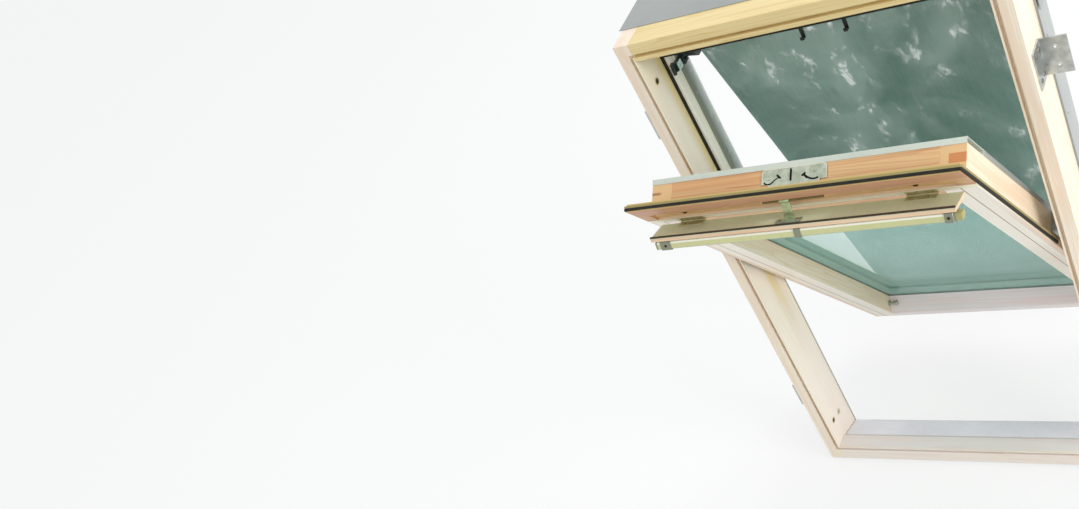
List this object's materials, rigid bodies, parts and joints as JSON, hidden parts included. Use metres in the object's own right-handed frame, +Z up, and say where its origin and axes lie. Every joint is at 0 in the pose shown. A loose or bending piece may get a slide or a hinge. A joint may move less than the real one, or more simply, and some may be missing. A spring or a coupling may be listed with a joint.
{
  "type": "roof window",
  "caption": "Centre-pivot roof window: pine frame, tilting glazed sash with a ventilation flap and control bar, aluminium covers and an outside sun screen.",
  "frame": {"origin": "middle of the four roof brackets' screw pattern, in the plane on which the brackets' feet rest on the roof battens", "axes": "X across the window's width; +Y out through the roof, at right angles to the roof plane; +Z up the roof slope"},
  "size_m": [0.88, 0.8261, 1.4055],
  "materials": {
    "frame_pine": "clear lacquered pine, satin",
    "sash_pine": "clear lacquered pine, satin",
    "rubber": "matt",
    "plug_plastic": "matt",
    "bush_steel": "worn",
    "grey_cladding": "matt lacquered aluminium",
    "zinc": "zinc plated",
    "black_metal": "black lacquered",
    "glass_inner": "clear float glass",
    "glass_outer": "coated float glass",
    "spacer_metal": "satin",
    "lock_steel": "satin nickel",
    "brass": "satin",
    "flap_paint": "satin lacquer",
    "bar_metal": "satin lacquer",
    "grey_plastic": "matt",
    "filter_foam": "open foam",
    "screen_mesh": "open weave of coated glass fibre",
    "roller_metal": "satin"
  },
  "bodies": {
    "frame": {"frame_left_jamb": "frame_pine", "frame_right_jamb": "frame_pine", "frame_top_rail": "frame_pine", "frame_bottom_rail": "frame_pine", "side_stop_left": "frame_pine", "side_stop_right": "frame_pine", "head_stop": "frame_pine", "frame_gasket": "rubber", "jamb_plugs": "plug_plastic", "bolt_bush": "bush_steel", "side_cover_left": "grey_cladding", "side_cover_right": "grey_cladding", "lower_cover_left": "grey_cladding", "lower_cover_right": "grey_cladding", "head_hood": "grey_cladding", "sill_cover": "grey_cladding", "roof_brackets": "zinc", "striker": "zinc", "pivot_bracket_left": "zinc", "pivot_bracket_right": "zinc", "roller_brackets": "black_metal"},
    "sash": {"sash_top_rail": "sash_pine", "sash_bottom_rail": "sash_pine", "sash_left_stile": "sash_pine", "sash_right_stile": "sash_pine", "flange_strip_left": "sash_pine", "flange_strip_right": "sash_pine", "vent_board": "sash_pine", "vent_filter": "filter_foam", "sash_gasket": "rubber", "inner_pane": "glass_inner", "outer_pane": "glass_outer", "glass_spacer": "spacer_metal", "glazing_gasket": "rubber", "top_cladding": "grey_cladding", "side_cladding_left": "grey_cladding", "side_cladding_right": "grey_cladding", "lower_cladding_left": "grey_cladding", "lower_cladding_right": "grey_cladding", "bottom_cladding": "grey_cladding", "lock_plate": "lock_steel", "lock_casing": "zinc", "bolt_barrel": "lock_steel", "pivot_arm_left": "zinc", "pivot_arm_right": "zinc", "hinge_sash_leaves": "brass", "screen_hooks": "black_metal"},
    "flap": {"flap_panel": "flap_paint", "flap_lath": "sash_pine", "flap_gasket": "rubber", "hinge_flap_leaves": "brass", "lever_strap": "lock_steel", "lever_rod": "lock_steel", "control_bar": "bar_metal", "bar_brackets": "grey_plastic"},
    "bolt": {"bolt_rod": "lock_steel"},
    "roller": {"screen_roller": "roller_metal"},
    "screen": {"screen_cloth": "screen_mesh"},
    "screen_end": {"screen_tail": "screen_mesh", "screen_bar": "roller_metal"}
  },
  "joints": [
    {"name": "sash_pivot", "type": "hinge", "parent": "frame", "child": "sash", "pos_m": [0, 0.054, 0.025], "axis": [1, 0, 0], "range_deg": [-33.3, 11.7]},
    {"name": "flap_hinge", "type": "hinge", "parent": "sash", "child": "flap", "pos_m": [0, -0.2986, 0.44066], "axis": [1, 0, 0], "range_deg": [-43, 0]},
    {"name": "bolt_slide", "type": "slide", "parent": "sash", "child": "bolt", "axis": [-1, 0, 0], "range_m": [0, 0.014]},
    {"name": "roller_spin", "type": "hinge", "parent": "frame", "child": "roller", "pos_m": [0, 0.094, 0.689], "axis": [1, 0, 0], "continuous": true},
    {"name": "screen_swing", "type": "hinge", "parent": "frame", "child": "screen", "pos_m": [0, 0.094, 0.689], "axis": [1, 0, 0], "range_deg": [-16.65, 5.85]},
    {"name": "screen_hook", "type": "hinge", "parent": "sash", "child": "screen_end", "pos_m": [0, 0.45198, -0.50801], "axis": [1, 0, 0], "range_deg": [-5.85, 16.65]}
  ],
  "couplings": [
    {"joint": "screen_swing", "follows": "sash_pivot", "ratio": 0.5},
    {"joint": "screen_hook", "follows": "sash_pivot", "ratio": -0.5}
  ]
}
